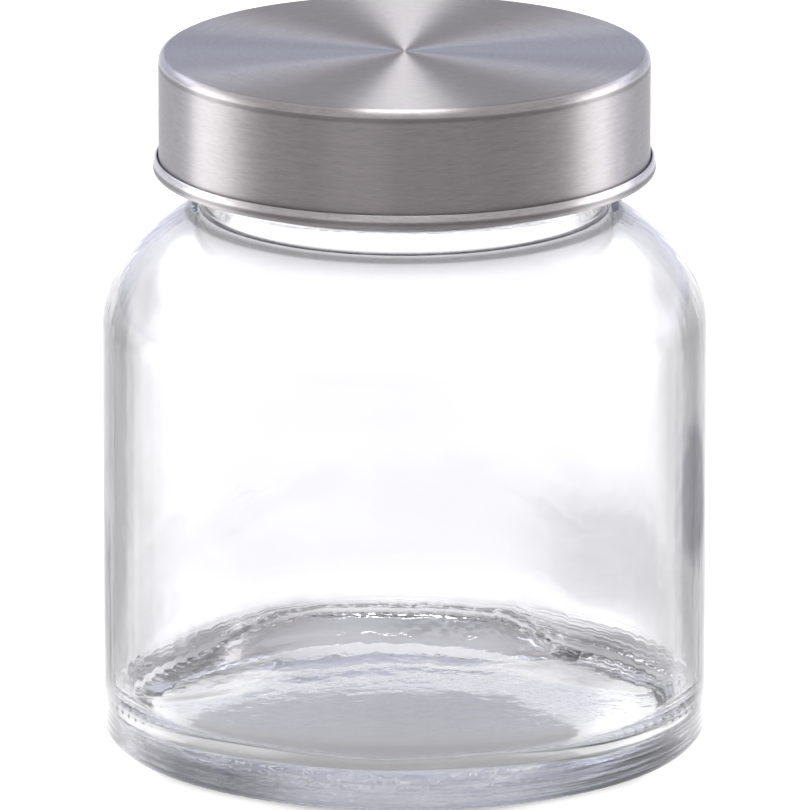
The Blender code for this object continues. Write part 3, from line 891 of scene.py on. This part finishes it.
def studio_air():
    """The room's light: a dim warm front, a paler cool back low down, a soft box overhead and
    behind, and a low soft box on each side, each a product of smooth steps of the direction.
    """
    world = bpy.data.worlds.new("studio")
    bpy.context.scene.world = world
    world.use_nodes = True
    n = Nodes(world.node_tree)
    x, y, z = n.split(n.add("ShaderNodeTexCoord").outputs["Generated"])
    before = n.math("SUBTRACT", 1.0, n.math("MINIMUM", y, FAN_END))
    places = {"x": x, "y": y, "z": z, "aside": n.off(x, 0.0), "off": n.off(x, OFF_LINE),
              "bearing": n.math("ARCTAN2", x, n.times(y, -1.0)),
              "fan": n.math("DIVIDE", x, before)}
    part = {name: n.product(places, steps) for name, steps in AIR.items()}
    room = n.times(part["room"], n.math("SUBTRACT", 1.0, part["dim belt"]))
    overhead = n.times(part["overhead"], OVERHEAD_LIGHT)
    light = n.plus(room, part["bright belt"], overhead, part["left"], part["right"])
    cool = n.mix(part["high"], AIR_COLOURS["back"], AIR_COLOURS["high"])
    shade = n.mix(part["back"], AIR_COLOURS["front"], cool)
    background = world.node_tree.nodes["Background"]
    n.put(background.inputs["Strength"], light)
    n.put(background.inputs["Color"], n.mix(part["overhead"], shade, AIR_COLOURS["overhead"]))


def build_floor(finish):
    """A wide level square just under the jar, as a grid of four points."""
    half, low = 8.0, -0.0001
    mesh = bpy.data.meshes.new("studio_floor")
    mesh.from_pydata([(-half, -half, low), (half, -half, low), (half, half, low),
                      (-half, half, low)], [], [(0, 1, 2, 3)])
    floor = bpy.data.objects.new("studio_floor", mesh)
    bpy.context.collection.objects.link(floor)
    mesh.materials.append(floor_material(finish.floor_near, finish.floor_front,
                                         finish.floor_glow, finish.side_glow))


def add_camera():
    """The camera at the photograph's angle: far off, with a long lens, looking 15.25 deg down."""
    distance, down = 2.3625, math.radians(15.25)
    aim = (0.00009, 0.0, 0.05827)
    data = bpy.data.cameras.new("camera")
    data.sensor_width = 36.0
    data.lens = 603.33
    data.clip_start, data.clip_end = 0.1, 40.0
    camera = bpy.data.objects.new("camera", data)
    bpy.context.collection.objects.link(camera)
    camera.location = (aim[0], -distance * math.cos(down), aim[2] + distance * math.sin(down))
    camera.rotation_euler = (math.pi / 2 - down, 0.0, 0.0)
    bpy.context.scene.camera = camera


def finish_piece(obj, material, body, node):
    """Give the piece its material and body, and hide the frame's node in its place."""
    obj.data.materials.append(material)
    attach(obj, body)
    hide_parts(node)


# Operators and panel
class JAR_OT_glass(bpy.types.Operator):
    """Build the glass body"""
    bl_idname = "jar.glass"
    bl_label = "Glass body"

    def execute(self, context):
        scene = context.scene
        obj = build_glass(scene.jar_glass, scene.jar_thread)
        finish_piece(obj, glass_material(scene.jar_finish.glass), "jar", "jar_body")
        return {"FINISHED"}


class JAR_OT_shell(bpy.types.Operator):
    """Build the brushed steel shell of the lid"""
    bl_idname = "jar.shell"
    bl_label = "Steel shell"

    def execute(self, context):
        scene = context.scene
        obj = build_shell(scene.jar_lid)
        finish_piece(obj, steel_material(scene.jar_finish.steel), "lid", "lid_shell")
        return {"FINISHED"}


class JAR_OT_cap(bpy.types.Operator):
    """Build the white threaded cap inside the lid"""
    bl_idname = "jar.cap"
    bl_label = "White cap"

    def execute(self, context):
        scene = context.scene
        obj = build_cap(scene.jar_lid, scene.jar_thread)
        material = moulded_material("white_plastic", scene.jar_finish.plastic, 0.97, 40.0, 900.0,
                                    (0.36, 0.46), 1.49, 0.00004)
        finish_piece(obj, material, "lid", "inner_cap")
        return {"FINISHED"}


class JAR_OT_seal(bpy.types.Operator):
    """Build the soft seal ring"""
    bl_idname = "jar.seal"
    bl_label = "Seal ring"

    def execute(self, context):
        scene = context.scene
        obj = build_seal(scene.jar_lid)
        material = moulded_material("seal_silicone", scene.jar_finish.silicone, 0.94, 60.0, 700.0,
                                    (0.42, 0.55), 1.41, 0.00005, 0.25)
        finish_piece(obj, material, "seal", "seal_ring")
        return {"FINISHED"}


class JAR_OT_stage(bpy.types.Operator):
    """Build the floor, the soft lights and the camera"""
    bl_idname = "jar.stage"
    bl_label = "Stage"

    def execute(self, context):
        build_floor(context.scene.jar_finish)
        studio_air()
        add_camera()
        context.scene.view_settings.view_transform = "Standard"
        paths = context.scene.cycles
        paths.max_bounces, paths.glossy_bounces, paths.transmission_bounces = 24, 20, 24
        return {"FINISHED"}


class JAR_PT_panel(bpy.types.Panel):
    """Buttons that build the jar's pieces and the stage"""
    bl_idname = "JAR_PT_panel"
    bl_label = "Glass storage jar"
    bl_space_type = "VIEW_3D"
    bl_region_type = "UI"
    bl_category = "Jar"

    def draw(self, context):
        for operator in OPERATORS:
            self.layout.operator(operator.bl_idname)


OPERATORS = (JAR_OT_glass, JAR_OT_seal, JAR_OT_cap, JAR_OT_shell, JAR_OT_stage)
GROUPS = {"jar_glass": GlassSizes, "jar_thread": ThreadSizes, "jar_lid": LidSizes,
          "jar_finish": Finishes}


def register():
    """Register the classes and hang the sizes on the scene."""
    for name, group in GROUPS.items():
        bpy.utils.register_class(group)
        setattr(bpy.types.Scene, name, PointerProperty(type=group))
    for cls in (*OPERATORS, JAR_PT_panel):
        bpy.utils.register_class(cls)


def unregister():
    """Take the classes and the sizes away again."""
    for cls in (JAR_PT_panel, *reversed(OPERATORS)):
        bpy.utils.unregister_class(cls)
    for name, group in GROUPS.items():
        delattr(bpy.types.Scene, name)
        bpy.utils.unregister_class(group)


def main():
    """Register the classes, then build every piece and the stage."""
    register()
    bpy.ops.jar.glass()
    bpy.ops.jar.seal()
    bpy.ops.jar.cap()
    bpy.ops.jar.shell()
    bpy.ops.jar.stage()


if __name__ == "__main__":
    main()
